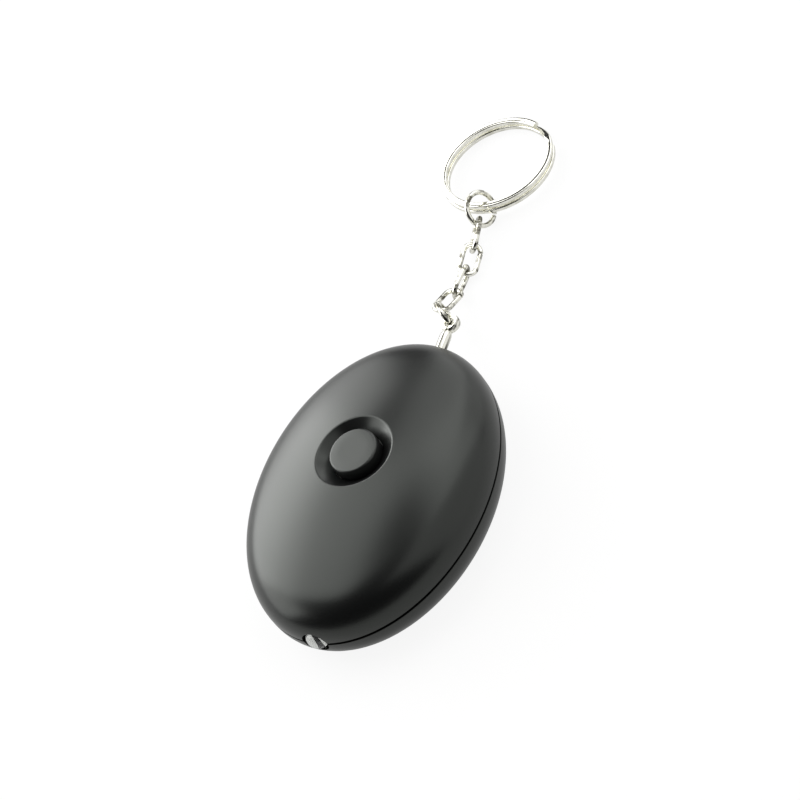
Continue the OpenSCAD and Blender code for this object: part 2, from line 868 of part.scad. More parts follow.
// One wire makes two flat turns and slopes from the upper one to the lower one over a short arc.
module split_ring() {
  whole = 360 - key_ramp_angle;
  lap = 1.5;
  color(metal_colour) translate(key_middle) lie(key_heading, key_fall, 0)
    rotate([0, 0, key_ramp_at + key_ramp_angle / 2]) {
      for (level = [-key_step / 2, key_step / 2])
        translate([0, 0, level]) key_arc(whole);
      rotate([0, 0, -key_ramp_angle / 2])
        rotate([-key_ramp_slope, 0, 0])
          rotate([0, 0, -key_ramp_angle / 2 - lap]) key_arc(key_ramp_angle + 2 * lap);
    }
}

upper_shell();
lower_shell();
push_button();
switch_plunger();
switch_body();
circuit_board();
led_lamp();
led_leads();
pin_socket();
socket_contacts();
sounder_plate();
sounder_ceramic();
sounder_leads();
coil_core();
coil_winding();
filter_capacitor();
control_chip();
driver_transistor();
chip_resistors();
battery_cells();
battery_plate();
battery_spring();
battery_door();
door_screws();
case_screws();
pull_pin();
jump_ring();
chain_link(1);  // chain_link_1
chain_link(2);  // chain_link_2
chain_link(3);  // chain_link_3
chain_link(4);  // chain_link_4
end_ring();
split_ring();
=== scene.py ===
import bisect
import math

import bmesh
import bpy
from mathutils import Matrix, Vector


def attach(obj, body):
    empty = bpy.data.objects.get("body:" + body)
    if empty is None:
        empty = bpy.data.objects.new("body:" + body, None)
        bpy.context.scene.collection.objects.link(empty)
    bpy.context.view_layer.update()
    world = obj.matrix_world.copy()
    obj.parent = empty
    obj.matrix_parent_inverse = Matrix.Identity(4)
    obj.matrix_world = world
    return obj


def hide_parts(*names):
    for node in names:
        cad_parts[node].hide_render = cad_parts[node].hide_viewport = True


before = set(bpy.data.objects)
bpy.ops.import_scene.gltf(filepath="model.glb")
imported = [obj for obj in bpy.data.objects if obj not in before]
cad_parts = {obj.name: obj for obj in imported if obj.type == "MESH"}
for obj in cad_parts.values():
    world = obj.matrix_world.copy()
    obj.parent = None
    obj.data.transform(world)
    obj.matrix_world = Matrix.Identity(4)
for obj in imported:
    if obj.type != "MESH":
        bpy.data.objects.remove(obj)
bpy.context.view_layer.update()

# Lower half of the case: a thin tray of dark ABS, flat underneath, with a rounded edge and a lip at the seam.
# It is injection moulded in a spark-eroded mould. Four screws from below hold it to the upper half.
mm = 0.001
case_length = 66.0
case_width = 50.0
half_length = case_length / 2
wall = 1.8
seam_z = 7.8
seam_chamfer = 0.34
groove_half = 0.27
groove_depth = 0.7
lip_height = 1.2
lip_thickness = 0.7
edge_radius = 7.0
around = 240
holder_y = -14.6
holder_size = (19.4, 12.4)
holder_wall = 1.2
board_top = 10.2
door_size = (21.2, 14.2)
door_corner = 1.2
door_ear_radius = 2.5
door_ear_out = 9.0
door_thickness = 1.3
door_gap = 0.2
post_places = [(x, y) for x in (-14.4, 14.4) for y in (-14.0, 14.0)]
post_radius = 2.4
screw_recess_radius = 1.95
screw_seat_z = 2.0
sounder_y = 10.4
sounder_seat_radii = (9.2, 11.2)
sounder_z = 4.3
slot_count = 5
slot_pitch = 2.8
slot_width = 1.4
slot_reach = 6.7
lamp_hole_radius = 2.7
pin_z = 5.6
pin_hole_radius = 1.45


def linear(colour):
    """An sRGB hex colour as linear red, green and blue with full alpha."""
    parts = [int(colour[i:i + 2], 16) / 255 for i in (1, 3, 5)]
    return [p / 12.92 if p <= 0.04045 else ((p + 0.055) / 1.055) ** 2.4 for p in parts] + [1.0]


def put(tree, kind, inputs=None, **settings):
    """Adds a node with its settings, and sets or links its inputs."""
    node = tree.nodes.new(kind)
    for name, value in settings.items():
        setattr(node, name, value)
    for name, value in (inputs or {}).items():
        if isinstance(value, bpy.types.NodeSocket):
            tree.links.new(value, node.inputs[name])
        else:
            node.inputs[name].default_value = value
    return node


def new_finish(name, sockets):
    """A new material with its shader's sockets set, and its tree, its shader and its object coordinates."""
    material = bpy.data.materials.new(name)
    material.use_nodes = True
    tree = material.node_tree
    shader = tree.nodes["Principled BSDF"]
    for socket, value in sockets.items():
        shader.inputs[socket].default_value = value
    return material, tree, shader, put(tree, "ShaderNodeTexCoord").outputs["Object"]


def per_size(size):
    """The scale of a pattern whose features are this many millimetres wide."""
    return 1 / (size * mm)


def noise(tree, place, size, detail=2.0):
    """A noise pattern whose features are this many millimetres wide."""
    values = {"Vector": place, "Scale": per_size(size), "Detail": detail}
    return put(tree, "ShaderNodeTexNoise", values).outputs["Fac"]


def set_colour(tree, shader, value, colours, places=(0.0, 1.0)):
    """Runs the base colour from one colour to another as a value runs between two places."""
    ramp = put(tree, "ShaderNodeValToRGB", {"Fac": value})
    for element, colour, at in zip(ramp.color_ramp.elements, colours, places):
        element.position = at
        element.color = linear(colour)
    tree.links.new(ramp.outputs["Color"], shader.inputs["Base Color"])


def set_roughness(tree, shader, value, limits):
    """Runs the roughness between two limits with a value."""
    gloss = put(tree, "ShaderNodeMapRange", {"Value": value, "To Min": limits[0], "To Max": limits[1]})
    tree.links.new(gloss.outputs["Result"], shader.inputs["Roughness"])


def set_bump(tree, shader, value, depth, strength=1.0):
    """Tilts the surface as a relief of this many millimetres would."""
    bump = put(tree, "ShaderNodeBump", {"Height": value, "Strength": strength, "Distance": depth * mm})
    tree.links.new(bump.outputs["Normal"], shader.inputs["Normal"])


def skin(rings, looped=False):
    """A closed mesh over rings of points in millimetres. A ring of one point is a pole."""
    shape = bmesh.new()
    made = [[shape.verts.new(Vector(point) * mm) for point in ring] for ring in rings]
    pairs = list(zip(made, made[1:]))
    if looped:
        pairs.append((made[-1], made[0]))
    for one, two in pairs:
        count = max(len(one), len(two))
        for i in range(count):
            j = (i + 1) % count
            corners = [one[i % len(one)], one[j % len(one)], two[j % len(two)], two[i % len(two)]]
            shape.faces.new(list(dict.fromkeys(corners)))
    bmesh.ops.recalc_face_normals(shape, faces=shape.faces)
    mesh = bpy.data.meshes.new("skin")
    shape.to_mesh(mesh)
    shape.free()
    return mesh


def prism(outline, low, high, chamfer_outline=None, chamfer=0.0):
    """An upright block over an outline, with a chamfer round its lower face if a smaller outline is given."""
    shape = bmesh.new()
    levels = [(outline, low + chamfer), (outline, high)]
    if chamfer_outline:
        levels.insert(0, (chamfer_outline, low))
    rings = [[shape.verts.new(Vector((x, y, z)) * mm) for x, y in ring] for ring, z in levels]
    for one, two in zip(rings, rings[1:]):
        for i in range(len(one)):
            j = (i + 1) % len(one)
            shape.faces.new((one[i], one[j], two[j], two[i]))
    shape.faces.new(rings[0][::-1])
    shape.faces.new(rings[-1])
    bmesh.ops.recalc_face_normals(shape, faces=shape.faces)
    mesh = bpy.data.meshes.new("prism")
    shape.to_mesh(mesh)
    shape.free()
    return mesh


def joined(meshes):
    """Several closed meshes as one."""
    shape = bmesh.new()
    for mesh in meshes:
        shape.from_mesh(mesh)
    mesh = bpy.data.meshes.new("joined")
    shape.to_mesh(mesh)
    shape.free()
    return mesh


def cut_out(solid, cutter):
    """A closed mesh with another taken out of it."""
    block = bpy.data.objects.new("block", solid)
    tool = bpy.data.objects.new("tool", cutter)
    for thing in (block, tool):
        bpy.context.scene.collection.objects.link(thing)
    cut = block.modifiers.new("cut", "BOOLEAN")
    cut.operation = "DIFFERENCE"
    cut.solver = "EXACT"
    cut.use_self = True
    cut.object = tool
    result = bpy.data.meshes.new_from_object(block.evaluated_get(bpy.context.evaluated_depsgraph_get()))
    for thing in (block, tool):
        bpy.data.objects.remove(thing)
    return result


def new_piece(name, mesh, material, smooth_angle=35):
    """The finished mesh as an object in the scene, smooth except at edges sharper than an angle."""
    mesh.name = name
    mesh.materials.clear()
    mesh.materials.append(material)
    for face in mesh.polygons:
        face.material_index = 0
    mesh.shade_smooth()
    mesh.set_sharp_from_angle(angle=math.radians(smooth_angle))
    piece = bpy.data.objects.new(name, mesh)
    bpy.context.scene.collection.objects.link(piece)
    return piece


def full_turn(count):
    """Angles round a full turn in even steps."""
    return [2 * math.pi * i / count for i in range(count)]


def quarter_turn(count):
    """Angles from nothing to a quarter turn in even steps."""
    return [math.pi / 2 * i / count for i in range(count + 1)]


def oval(reach, z):
    """A ring of the case's oval plan, at its reach along the case and its height."""
    squeeze = case_width / case_length
    return [(squeeze * reach * math.cos(t), reach * math.sin(t), z) for t in full_turn(around)]


def circle(radius, middle=(0.0, 0.0), count=72):
    """Points of a circle in plan."""
    return [(middle[0] + radius * math.cos(t), middle[1] + radius * math.sin(t)) for t in full_turn(count)]


def arc(middle, radius, start, end, count=12):
    """Points of an arc in plan, between two angles in degrees."""
    turns = [math.radians(start + (end - start) * i / count) for i in range(count + 1)]
    return [(middle[0] + radius * math.cos(t), middle[1] + radius * math.sin(t)) for t in turns]


def rectangle(size, middle=(0.0, 0.0)):
    """Corners of a rectangle in plan."""
    corners = ((1, 1), (-1, 1), (-1, -1), (1, -1))
    return [(middle[0] + x * size[0] / 2, middle[1] + y * size[1] / 2) for x, y in corners]


def tube(outer, inner, low, high):
    """An upright tube between two outlines with as many points each."""
    rings = [(outer, low), (outer, high), (inner, high), (inner, low)]
    return skin([[(x, y, z) for x, y in outline] for outline, z in rings], looped=True)


def rod(radius, start, end, z):
    """A plain cylinder that lies along the case at a height."""
    rings = [[(x, y, z + up) for x, up in circle(radius)] for y in (start, end)]
    return skin([[(0, start, z)], *rings, [(0, end, z)]])


def door_outline(grow):
    """The battery door's outline, made larger all round by a clearance."""
    x = door_size[0] / 2 - door_corner
    y = door_size[1] / 2 - door_corner
    corner = door_corner + grow
    ear = door_ear_radius + grow
    points = arc((x, y), corner, 0, 90) + [(ear, y + corner)] + arc((0, door_ear_out), ear, 0, 180)
    points += [(-ear, y + corner)] + arc((-x, y), corner, 90, 180)
    return [(px, holder_y + py) for px, py in points + [(-px, -py) for px, py in points]]


def quarter_round(inset, steps=18):
    """Rings of the rounded edge round the back, from the floor up."""
    radius = edge_radius - inset
    turns = quarter_turn(steps)
    middle = half_length - edge_radius
    return [oval(middle + radius * math.sin(t), edge_radius - radius * math.cos(t)) for t in turns]


inside = half_length - wall
floor_shares = (0.3, 0.65)
floor_steps = [(half_length - edge_radius) * share for share in floor_shares]
tray_rings = [[(0, 0, 0)]] + [oval(reach, 0) for reach in floor_steps] + quarter_round(0)
groove_edge = half_length - seam_chamfer + groove_half
groove_wall = half_length - groove_depth
tray_rings += [oval(half_length, seam_z - seam_chamfer), oval(groove_edge, seam_z - groove_half)]
tray_rings += [oval(groove_wall, seam_z - groove_half), oval(groove_wall, seam_z)]
tray_rings += [oval(inside + lip_thickness, seam_z), oval(inside + lip_thickness, seam_z + lip_height)]
tray_rings += [oval(inside, seam_z + lip_height)] + quarter_round(wall)[::-1]
tray_rings += [oval(reach, wall) for reach in floor_steps[::-1]] + [[(0, 0, wall)]]

through = 12.0
cut_past = 1.0
hole_out = 5.0
hole_in = 2.0
door_seat_gap = 0.05
holder_middle = (0, holder_y)
lamp_hole = rod(lamp_hole_radius, -half_length - hole_out, -inside + hole_in, seam_z)
openings = [
    prism(door_outline(door_gap), -cut_past, door_thickness + door_seat_gap),
    prism(rectangle(holder_size, holder_middle), -cut_past, through),
    lamp_hole,
    rod(pin_hole_radius, inside - hole_in, half_length + hole_out, pin_z),
]
openings += [prism(circle(screw_recess_radius, place), -cut_past, through) for place in post_places]
for i in range(slot_count):
    x = (i - (slot_count - 1) / 2) * slot_pitch
    half = math.sqrt(slot_reach ** 2 - x ** 2)
    far_end = arc((x, sounder_y + half), slot_width / 2, 0, 180)
    near_end = arc((x, sounder_y - half), slot_width / 2, 180, 360)
    openings.append(prism(far_end + near_end, -cut_past, wall + cut_past))

fixture_sink = 0.1
fixture_low = wall - fixture_sink
post_rise = 0.8
outer_holder = [side + 2 * holder_wall for side in holder_size]
holder_inside, holder_outside = [rectangle(size, holder_middle) for size in (holder_size, outer_holder)]
seat_inside, seat_outside = [circle(radius, (0, sounder_y)) for radius in sounder_seat_radii]
fixtures = [
    tube(holder_outside, holder_inside, fixture_low, board_top),
    tube(seat_outside, seat_inside, fixture_low, sounder_z),
]
fixtures += [prism(circle(post_radius, place), screw_seat_z, seam_z + post_rise) for place in post_places]

# Dark ABS from a spark-eroded mould: a satin grey-black whose very fine even grain spreads the highlights.
# Its gloss drifts a little across the surface, as moulded plastic's does.
abs_colours = ("#080809", "#0b0b0c")
abs_sheen = "#f7fdf6"
abs_drift_mm = 14.0
abs_roughness = (0.27, 0.32)
abs_grain_mm = 0.4
abs_grain_depth = 0.004
abs_sockets = {"IOR": 1.54, "Specular Tint": linear(abs_sheen)}
case_plastic, tree, shader, place = new_finish("spark_textured_abs", abs_sockets)
drift = noise(tree, place, abs_drift_mm, detail=3.0)
set_colour(tree, shader, drift, abs_colours)
set_roughness(tree, shader, drift, abs_roughness)
set_bump(tree, shader, noise(tree, place, abs_grain_mm), abs_grain_depth)

tray = cut_out(skin(tray_rings), joined(openings))
lower_shell = new_piece("lower_case", joined([tray, *fixtures]), case_plastic)
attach(lower_shell, "case")
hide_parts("lower_shell")

# What is held inside the case: the sounder, the circuit board with its parts, the switch and the battery.
# They are bought-in pieces of brass, ceramic, ferrite, glass-fibre board and plated steel, soldered or
# pressed into place. Only the sounder shows through its slots, and the cells when the door is off.
board_green = "#1d5a35"
board_trace = "#2b7547"
trace_mm = 2.2
trace_share = 0.08

# Solder mask on glass fibre: a glossy green with paler lines where copper runs beneath it.
solder_mask, tree, shader, place = new_finish("solder_mask_on_glass_fibre", {"Roughness": 0.3, "IOR": 1.52})
pattern = {"Vector": place, "Scale": per_size(trace_mm), "Mortar Size": trace_share}
pattern |= {"Color1": linear(board_green), "Color2": linear(board_green), "Mortar": linear(board_trace)}
traces = put(tree, "ShaderNodeTexBrick", pattern)
tree.links.new(traces.outputs["Color"], shader.inputs["Base Color"])

# Rolled, stamped and plated metals keep fine streaks along the rolling direction, which break up their shine.
rolled_metals = {
    "rolled_brass": ("#c9a557", ["sounder_plate", "socket_contacts"]),
    "nickel_plated_cell_steel": ("#c3c4c3", ["battery_cells", "battery_plate", "battery_spring"]),
    "tinned_copper_wire": ("#e0e0dd", ["led_leads"]),
    "drawn_aluminium_can": ("#b9bbbd", ["filter_capacitor"]),
    "stamped_switch_steel": ("#adb0b2", ["switch_body"]),
    "enamelled_copper_winding": ("#a85a2a", ["coil_winding"]),
}
streak_mm = (0.25, 4.0, 0.25)
rolled_roughness = (0.2, 0.38)
inner_finishes = {solder_mask: ["circuit_board"]}


def streaks(tree, place, sizes):
    """A noise pattern whose features have these sizes in millimetres across, along and up the case."""
    stretch = put(tree, "ShaderNodeMapping", {"Vector": place, "Scale": [per_size(size) for size in sizes]})
    values = {"Vector": stretch.outputs["Vector"], "Scale": 1.0, "Detail": 2.0}
    return put(tree, "ShaderNodeTexNoise", values).outputs["Fac"]


for name, (colour, nodes) in rolled_metals.items():
    metal, tree, shader, place = new_finish(name, {"Base Color": linear(colour), "Metallic": 1.0})
    set_roughness(tree, shader, streaks(tree, place, streak_mm), rolled_roughness)
    inner_finishes[metal] = nodes

# Pressed, fired and cast parts are matt and speckled.
cast_parts = {
    "fired_piezo_ceramic": ("#d9d3bd", "#cfc8ae", ["sounder_ceramic"]),
    "pressed_ferrite": ("#2b2a29", "#3a3836", ["coil_core"]),
    "moulded_black_epoxy": ("#191a1b", "#222324", ["control_chip", "driver_transistor", "chip_resistors"]),
    "moulded_black_nylon": ("#1b1c1e", "#242527", ["pin_socket", "switch_plunger"]),
    "red_wire_insulation": ("#a8241e", "#b9312a", ["sounder_leads"]),
}
speckle_mm = 0.3
cast_roughness = 0.5
for name, (colour, speckle, nodes) in cast_parts.items():
    cast, tree, shader, place = new_finish(name, {"Roughness": cast_roughness})
    set_colour(tree, shader, noise(tree, place, speckle_mm, detail=3.0), (colour, speckle))
    inner_finishes[cast] = nodes

for finish, nodes in inner_finishes.items():
    for node in nodes:
        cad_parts[node].data.materials.clear()
        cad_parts[node].data.materials.append(finish)

# Lamp: a 5 mm light-emitting diode in a bullet of clear cast epoxy, which its leads hold in a hole at the
# seam. Inside the epoxy are the two halves of the stamped lead frame, whose broad heads face the nose.
lamp_radius = 2.5
lamp_tip = -33.7
lamp_base = -25.1
flange_radius = 2.9
flange_thickness = 1.0
lamp_steps = 14


def lying(profile, z, count=64):
    """Rings turned about a line along the case at a height, from pairs of radius and place along the case."""
    rings = []
    for radius, y in profile:
        if radius == 0:
            rings.append([(0, y, z)])
        else:
            rings.append([(x, y, z + up) for x, up in circle(radius, count=count)])
    return rings


nose = quarter_turn(lamp_steps)
lamp_profile = [(lamp_radius * math.sin(t), lamp_tip + lamp_radius * (1 - math.cos(t))) for t in nose]
flange_start = lamp_base - flange_thickness
lamp_profile += [(lamp_radius, flange_start), (flange_radius, flange_start)]
lamp_profile += [(flange_radius, lamp_base), (0, lamp_base)]

# Clear cast epoxy: smooth, with a faint ripple left by casting and a little cloud in it, which catches light.
epoxy_tint = "#f4f6f5"
ripple_mm = 1.6
ripple_depth = 0.01
ripple_strength = 0.3
epoxy_sockets = {
    "Base Color": linear(epoxy_tint), "Roughness": 0.02, "IOR": 1.53, "Transmission Weight": 0.92,
}
clear_epoxy, tree, shader, place = new_finish("clear_cast_epoxy", epoxy_sockets)
set_bump(tree, shader, noise(tree, place, ripple_mm, detail=1.0), ripple_depth, ripple_strength)

lamp = new_piece("lamp", skin(lying(lamp_profile, seam_z)), clear_epoxy)
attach(lamp, "case")
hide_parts("led_lamp")

head_radius = 1.6
head_gap = 0.9
head_thickness = 0.4
head_depth = 1.9
head_back = lamp_tip + head_depth + head_thickness
blade_half = 0.25
blade_stop = 2.1
blade_end = lamp_base - blade_stop
blade_outline = ((0.7, head_back), (1.8, head_back), (1.5, blade_end), (1.05, blade_end))
head_place = Matrix.Translation(Vector((0, head_back, seam_z)) * mm) @ Matrix.Rotation(math.pi / 2, 4, "X")
frame_parts = []
for side, start in ((1, -90), (-1, 90)):
    head = prism(arc((side * head_gap / 2, 0), head_radius, start, start + 180), 0, head_thickness)
    head.transform(head_place)
    outline = [(side * x, y) for x, y in blade_outline]
    frame_parts += [head, prism(outline, seam_z - blade_half, seam_z + blade_half)]
lead_frame = new_piece("lamp_lead_frame", joined(frame_parts), bpy.data.materials["tinned_copper_wire"])
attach(lead_frame, "case")

# Button: a round cap of dark ABS with a smooth top and a rounded rim, held down by a flange under the dish.
# It is moulded as a cup, with a stem that presses the switch.
button_y = 2.25
button_radius = 5.0
button_top = 19.85
button_round = 0.5
button_flange_radius = 6.2
button_flange_low = 15.15
button_flange_high = 15.95
hollow_radius = 3.8
hollow_top = 18.65
stem_radius = 1.5
stem_end = 14.9
flat_share = 0.6
round_steps = 6


def upright(profile, y, count=128):
    """Rings turned about an upright line on the case's long axis, from pairs of radius and height."""
    rings = []
    for radius, z in profile:
        if radius == 0:
            rings.append([(0, y, z)])
        else:
            rings.append([(px, py, z) for px, py in circle(radius, (0, y), count)])
    return rings


rim = quarter_turn(round_steps)
inner_top = button_radius - button_round
cap_profile = [(button_flange_radius, button_flange_low), (button_flange_radius, button_flange_high)]
cap_profile += [(button_radius, button_flange_high)]
cap_profile += [
    (inner_top + button_round * math.cos(t), button_top - button_round * (1 - math.sin(t))) for t in rim
]
cap_profile += [(inner_top * flat_share, button_top), (0, button_top)]
hollow_profile = [(0, stem_end), (stem_radius, stem_end), (stem_radius, hollow_top)]
hollow_profile += [(hollow_radius, hollow_top), (hollow_radius, button_flange_low)]

# Dark ABS from a finely blasted mould: a little paler and smoother than the case, so that its flat top takes
# one even sheen.
button_colours = ("#111112", "#151516")
button_cloud_mm = 5.0
button_roughness = (0.3, 0.36)
button_plastic, tree, shader, place = new_finish("fine_blasted_abs", abs_sockets | {"IOR": 1.6})
cloud = noise(tree, place, button_cloud_mm)
set_colour(tree, shader, cloud, button_colours)
set_roughness(tree, shader, cloud, button_roughness)

cap = skin(upright(hollow_profile + cap_profile, button_y))
button = new_piece("button_cap", cap, button_plastic)
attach(button, "button")
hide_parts("push_button")

# Upper half of the case: a domed ABS shell with a dish for the button and a half hole for the lamp.
# It is moulded like the lower half, with a soft lip round the dish and posts inside for the screws.
case_height = 20.0
seam_band = 0.4
shoulder_radius = 7.5
band_top = seam_z + seam_band
shoulder_at = half_length - shoulder_radius
crown_rise = case_height - band_top
crown_radius = shoulder_at ** 2 + crown_rise ** 2 - shoulder_radius ** 2
crown_radius /= 2 * (crown_rise - shoulder_radius)
crown_middle = case_height - crown_radius
crown_end = math.atan2(shoulder_at, band_top - crown_middle)
lip_gap = 0.1
dish_radius = 8.0
dish_floor_radius = 5.6
dish_floor_z = 17.55
dish_floor_fall = 0.34
dish_lip_round = 0.65
button_hole_radius = 5.2
boss_radius = 9.2
boss_low = 15.35
pocket_radius = 6.6
pocket_top = 16.05
upper_post_gap = 0.05
upper_post_top = 15.0
crown_steps = 26
crown_spread = 1.2
shoulder_steps = 36
lip_steps = 8
soft_start = 24.425
soft_length = 9.0
soft_radius = 7.099
soft_step = 0.02


def soft_profile():
    """Reach and height down the outside of the dome, whose bend tightens gradually from crown to shoulder."""
    angle, reach, height = 0.0, 0.0, case_height
    points = [(reach, height)]
    while angle < math.pi / 2:
        share = min(max((len(points) * soft_step - soft_start) / soft_length, 0.0), 1.0)
        share = share * share * (3 - 2 * share)
        angle += soft_step * ((1 - share) / crown_radius + share / soft_radius)
        reach += soft_step * math.cos(angle)
        height -= soft_step * math.sin(angle)
        points.append((reach, height))
    return points


outer_profile = soft_profile()
outer_reaches = [reach for reach, height in outer_profile]


def outer_z(reach):
    """Height of the outside of the dome at a reach along the case."""
    i = bisect.bisect(outer_reaches, reach)
    (one, start), (two, end) = outer_profile[i - 1:i + 1]
    return start + (end - start) * (reach - one) / (two - one)


def inner_z(reach):
    """Height of the ceiling inside the crown at a reach along the case."""
    return crown_middle + math.sqrt((crown_radius - wall) ** 2 - reach ** 2)


def plan_reach(x, y):
    """How far along the case the oval through a point of the plan reaches."""
    return math.hypot(x * case_length / case_width, y)


def crown_rings(start_ring, edge_reach, height):
    """Rings over the crown, from a round ring about the button out to an oval, at heights from a function."""
    edge = oval(edge_reach, 0)
    rings = []
    for step in range(crown_steps + 1):
        share = (step / crown_steps) ** crown_spread
        pairs = zip(start_ring, edge)
        plan = [(a[0] + (b[0] - a[0]) * share, a[1] + (b[1] - a[1]) * share) for a, b in pairs]
        rings.append([(x, y, height(plan_reach(x, y))) for x, y in plan])
    return rings


def inner_shoulder_rings(lowest):
    """Rings of the inside of the shoulder, from the crown's edge down to a height."""
    radius = shoulder_radius - wall
    last = math.acos((lowest - band_top) / radius)
    turns = [crown_end + (last - crown_end) * (i + 1) / shoulder_steps for i in range(shoulder_steps)]
    return [oval(shoulder_at + radius * math.sin(t), band_top + radius * math.cos(t)) for t in turns]


def dish_lip(turn):
    """Points of the rounded lip between dome and dish in one upright plane, from the dome inwards."""
    across = Vector((math.cos(turn), math.sin(turn)))

    def height_at(radius):
        return outer_z(plan_reach(across.x * radius, button_y + across.y * radius))

    corner = Vector((dish_radius, height_at(dish_radius)))
    out = Vector((1, height_at(dish_radius + 1) - corner.y)).normalized()
    down = (Vector((dish_floor_radius, dish_floor_z)) - corner).normalized()
    half_angle = out.angle(down) / 2
    middle = corner + (out + down).normalized() * dish_lip_round / math.sin(half_angle)
    length = dish_lip_round / math.tan(half_angle)
    first = corner + out * length - middle
    last = corner + down * length - middle
    points = [middle + first.slerp(last, i / lip_steps) * dish_lip_round for i in range(lip_steps + 1)]
    return [(across.x * p.x, button_y + across.y * p.x, p.y) for p in points]


lips = [dish_lip(turn) for turn in full_turn(around)]
lip_rings = [[lip[i] for lip in lips] for i in range(lip_steps + 1)]
recess = inside + lip_thickness + lip_gap
recess_top = seam_z + lip_height + lip_gap
soft_rows = outer_profile[int(soft_start / soft_step):]
soft_rows = [soft_rows[round(i * (len(soft_rows) - 1) / shoulder_steps)] for i in range(shoulder_steps + 1)]
dome_rings = crown_rings([point[:2] for point in lip_rings[0]], soft_rows[0][0], outer_z)[1:]
dome_rings += [oval(*row) for row in soft_rows[1:-1]] + [oval(half_length, band_top)]
dome_rings += [oval(half_length, seam_z + seam_chamfer), oval(groove_edge, seam_z + groove_half)]
dome_rings += [oval(groove_wall, seam_z + groove_half), oval(groove_wall, seam_z)]
dome_rings += [oval(recess, seam_z), oval(recess, recess_top)]
boss_ring = circle(boss_radius, (0, button_y), around)
inner_edge = shoulder_at + (shoulder_radius - wall) * math.sin(crown_end)
dome_rings += inner_shoulder_rings(recess_top)[::-1] + crown_rings(boss_ring, inner_edge, inner_z)[::-1]
well = [(boss_radius, boss_low), (pocket_radius, boss_low), (pocket_radius, pocket_top)]
well += [(button_hole_radius, pocket_top), (button_hole_radius, dish_floor_z - dish_floor_fall)]
well += [(dish_floor_radius, dish_floor_z)]
dome_rings += upright(well, button_y, around) + lip_rings[::-1]

dome = cut_out(skin(dome_rings, looped=True), lamp_hole)
post_low = board_top + upper_post_gap
upper_posts = [prism(circle(post_radius, place), post_low, upper_post_top) for place in post_places]
upper_shell = new_piece("upper_case", joined([dome, *upper_posts]), case_plastic)
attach(upper_shell, "case")
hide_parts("upper_shell")

# Case screws: four self-tapping screws with low round heads and a crossed recess, sunk in the lower half.
# They are cold formed from steel wire and zinc plated.
case_screw = {"head": 1.8, "height": 1.3, "round": 0.5, "shank": 0.8, "length": 12.2}
cross_width = 0.55
cross_share = 0.62
screw_sides = 48


def screw_mesh(screw):
    """One screw standing head down, with the underside of its head at zero."""
    edge = screw["head"] - screw["round"]
    face = -screw["height"]
    profile = [(0, face)]
    for t in quarter_turn(round_steps):
        profile.append((edge + screw["round"] * math.sin(t), face + screw["round"] * (1 - math.cos(t))))
    profile += [(screw["head"], 0), (screw["shank"], 0)]
    profile += [(screw["shank"], screw["length"]), (0, screw["length"])]
    arm = 2 * screw["head"] * cross_share
    recess_floor = face + screw["height"] / 2
    arms = ((arm, cross_width), (cross_width, arm))
    bars = [prism(rectangle(size), face - cut_past, recess_floor) for size in arms]
    return cut_out(skin(upright(profile, 0, screw_sides)), joined(bars))


def new_tree(name, inputs, output):
    """A new tree of geometry nodes with inputs of named kinds and one output, and its input sockets."""
    nodes = bpy.data.node_groups.new(name, "GeometryNodeTree")
    for socket, kind in inputs.items():
        nodes.interface.new_socket(socket, in_out="INPUT", socket_type="NodeSocket" + kind)
    nodes.interface.new_socket(output, in_out="OUTPUT", socket_type="NodeSocketGeometry")
    return nodes, put(nodes, "NodeGroupInput").outputs


def end_tree(nodes, geometry, material, output):
    """The end of a tree: copies made real, the material set, and the result handed on."""
    real = put(nodes, "GeometryNodeRealizeInstances", {"Geometry": geometry})
    dress = {"Geometry": real.outputs["Geometry"], "Material": material}
    put(nodes, "NodeGroupOutput", {output: put(nodes, "GeometryNodeSetMaterial", dress).outputs["Geometry"]})


def grow(name, nodes, values, points=()):
    """Runs a tree of geometry nodes on points with its values, and returns what it makes as a plain mesh."""
    places = bpy.data.meshes.new(name)
    places.from_pydata([Vector(point) * mm for point in points], [], [])
    seed = bpy.data.objects.new(name, places)
    bpy.context.scene.collection.objects.link(seed)
    modifier = seed.modifiers.new(name, "NODES")
    modifier.node_group = nodes
    for socket, value in values.items():
        modifier[nodes.interface.items_tree[socket].identifier] = value
    mesh = bpy.data.meshes.new_from_object(seed.evaluated_get(bpy.context.evaluated_depsgraph_get()))
    bpy.data.objects.remove(seed)
    return mesh


def set_screws(name, screw, points, material):
    """The screws of one group as one mesh: geometry nodes put a copy of the screw on each point."""
    nodes, given = new_tree(name, {"Points": "Geometry", "Screw": "Object"}, "Screws")
    one = put(nodes, "GeometryNodeObjectInfo", {"Object": given["Screw"]})
    spread = {"Points": given["Points"], "Instance": one.outputs["Geometry"]}
    copies = put(nodes, "GeometryNodeInstanceOnPoints", spread)
    end_tree(nodes, copies.outputs["Instances"], material, "Screws")
    sample = bpy.data.objects.new(name + "_sample", screw_mesh(screw))
    bpy.context.scene.collection.objects.link(sample)
    mesh = grow(name, nodes, {"Screw": sample}, points)
    bpy.data.objects.remove(sample)
    return mesh


# Zinc-plated steel: a bright grey metal with a fine crystalline mottle.
zinc_grey = "#a9adb0"
zinc_mottle_mm = 0.2
zinc_roughness = (0.22, 0.42)
zinc_sockets = {"Base Color": linear(zinc_grey), "Metallic": 1.0}
zinc_steel, tree, shader, place = new_finish("zinc_plated_steel", zinc_sockets)
set_roughness(tree, shader, noise(tree, place, zinc_mottle_mm), zinc_roughness)

case_points = [(x, y, screw_seat_z) for x, y in post_places]
case_screw_mesh = set_screws("case_screw_set", case_screw, case_points, zinc_steel)
case_screws = new_piece("case_screw_set", case_screw_mesh, zinc_steel)
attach(case_screws, "case")
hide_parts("case_screws")

